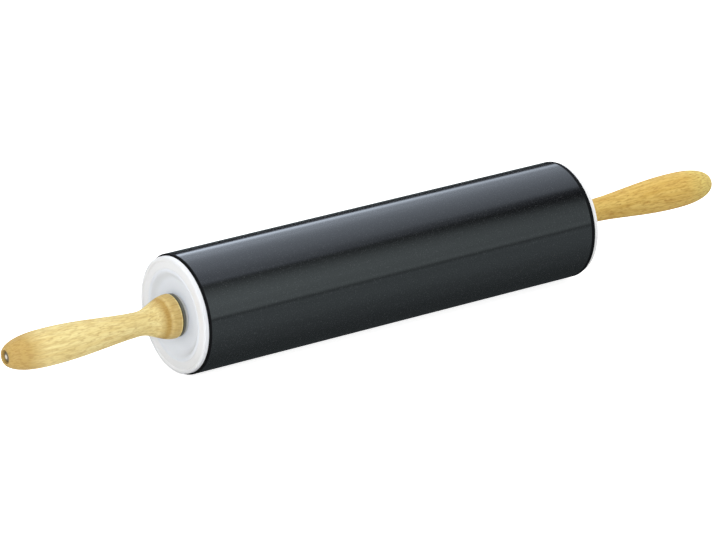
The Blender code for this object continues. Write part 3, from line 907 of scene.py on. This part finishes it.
def make_world():
    """White to the camera, an even grey fill, and soft boxes in bands for the gloss."""
    world = bpy.data.worlds.new("studio")
    bpy.context.scene.world = world
    world.use_nodes = True
    tree = world.node_tree
    tree.nodes.clear()
    axes = axis_components(tree, add_node(tree, "ShaderNodeTexCoord").outputs["Generated"])
    front = math_node(tree, "MULTIPLY", axes["Y"], -1.0)
    turn = math_node(tree, "ARCTAN2", axes["Z"], front)
    degrees = math_node(tree, "DEGREES", turn)
    places = []
    less = []
    more = []
    for place, less_level, more_level in MIRRORED_SKY:
        tint = LOW_SKY_TINT if place < HIGH_SKY_START else HIGH_SKY_TINT
        places.append(place)
        less.append(tinted(less_level, tint))
        more.append(tinted(more_level, tint))
    peak = max(max(color) for color in less + more)
    less_color = color_ramp(tree, degrees, places, less, peak)
    more_color = color_ramp(tree, degrees, places, more, peak)
    sideways = math_node(tree, "ABSOLUTE", axes["X"])
    lean = remap(tree, sideways, LESS_TO_SIDE, MORE_TO_SIDE)
    color = mix_color(tree, lean, less_color, more_color)
    rightward = remap(tree, axes["X"], 0.0, RIGHTWARD_FULL)
    far_left = remap(tree, axes["X"], FAR_LEFT_START, FAR_LEFT_FULL)
    banded = math_node(tree, "MAXIMUM", rightward, far_left)
    even = LEFT_LEVEL / peak
    color = mix_color(tree, banded, (even, even, even), color)
    bands = add_node(tree, "ShaderNodeBackground", {"Color": color, "Strength": peak})
    fill = add_node(tree, "ShaderNodeBackground", {"Color": WHITE, "Strength": SKY_FILL})
    white = add_node(tree, "ShaderNodeBackground", {"Color": WHITE, "Strength": 1.0})
    path = add_node(tree, "ShaderNodeLightPath")
    light = mix_shader(tree, path.outputs["Is Glossy Ray"], fill, bands)
    total = mix_shader(tree, seen_directly(tree, path), light, white)
    output = add_node(tree, "ShaderNodeOutputWorld")
    tree.links.new(total.outputs[0], output.inputs["Surface"])


def build():
    """Builds the pieces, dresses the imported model's own nodes and sets up the studio."""
    barrel = mesh_object("barrel_shell", turned(tube_outline(), BARREL_SEGMENTS))
    finish_piece(barrel, coating_material(), "barrel", "nonstick_coating", "barrel_tube")
    barrel.data.materials.append(edge_material())
    for face in barrel.data.polygons:
        place = face.center.x
        at_end = place > TUBE_END - RIGHT_EDGE_BAND or place < LEFT_EDGE_BAND - TUBE_END
        face.material_index = EDGE_INDEX if at_end else COATING_INDEX

    right_cap = mesh_object("right_moulded_cap", turned(cap_outline(), BARREL_SEGMENTS))
    joined(right_cap, cap_additions())
    left_cap = turned_about(right_cap, "left_moulded_cap")
    # The right cap's plastic is a copy of the left's with painted light.
    right_plastic_painted_light = cap_material("right_cap_plastic", RIGHT_CAP_PAINTED_LIGHT)
    left_plastic = cap_material("left_cap_plastic", LEFT_CAP_PAINTED_LIGHT)
    finish_piece(right_cap, right_plastic_painted_light, "barrel", "cap_plastic", "right_end_cap")
    finish_piece(left_cap, left_plastic, "barrel", "cap_plastic", "left_end_cap")

    # Dull steel of the spacers and clips, whose dark olive tone is painted shade in the gap
    # between collar and cap, with a painted reflection of the wood.
    dull_steel = steel_material(
        "dull_steel", dark=(0.17, 0.17, 0.14), light=(0.24, 0.24, 0.20), roughness=0.50
    )
    right_washer = mesh_object("right_spacer", turned(washer_outline(), HANDLE_SEGMENTS))
    left_washer = turned_about(right_washer, "left_spacer")
    finish_piece(right_washer, dull_steel, "spindle", "dull_steel", "right_thrust_washer")
    finish_piece(left_washer, dull_steel, "spindle", "dull_steel", "left_thrust_washer")

    right_grip = mesh_object("right_turned_handle", turned(handle_outline(), HANDLE_SEGMENTS))
    left_grip = turned_about(right_grip, "left_turned_handle")
    # The left handle's ends take painted shade.
    left_wood = wood_material(
        "left_beech",
        pale=(0.82, 0.70, 0.33),
        mid=(0.73, 0.575, 0.235),
        streak=(0.86, 0.81, 0.76),
        ray=(0.52, 0.34, 0.125),
        ends=(0.50, 0.32, 0.088),
        painted_end_shares=(1.0, 0.85),
        shift=0.0,
    )
    # The right handle's ends take painted light.
    right_wood = wood_material(
        "right_beech",
        pale=(0.77, 0.55, 0.155),
        mid=(0.67, 0.43, 0.10),
        streak=(0.85, 0.78, 0.72),
        ray=(0.46, 0.225, 0.045),
        ends=(0.76, 0.62, 0.19),
        painted_end_shares=(0.30, 0.75),
        shift=0.7,
    )
    finish_piece(right_grip, right_wood, "spindle", "handle_wood", "right_handle")
    finish_piece(left_grip, left_wood, "spindle", "handle_wood", "left_handle")

    bright_steel = steel_material(
        "bright_steel", dark=(0.52, 0.53, 0.54), light=(0.60, 0.61, 0.62), roughness=0.30
    )
    # The rivet washers' steel is dark and brown as painted shade in the counterbore.
    counterbore_shade_steel = steel_material(
        "counterbore_shade_steel", dark=(0.17, 0.145, 0.09), light=(0.24, 0.205, 0.13), roughness=0.50
    )
    dress_nodes(rod_material(), "axle_rod")
    dress_nodes(bright_steel, "left_clip_washer", "right_clip_washer")
    dress_nodes(counterbore_shade_steel, "left_rivet_washer", "right_rivet_washer")
    dress_nodes(dull_steel, "left_retaining_clip", "right_retaining_clip")
    dress_nodes(bush_material(), "left_axle_bush", "right_axle_bush")

    make_camera()
    make_floor()
    make_world()
    for name, (place, size, energy) in LAMPS.items():
        make_lamp(name, place, size, energy)


build()
bpy.context.scene.view_settings.view_transform = "Standard"
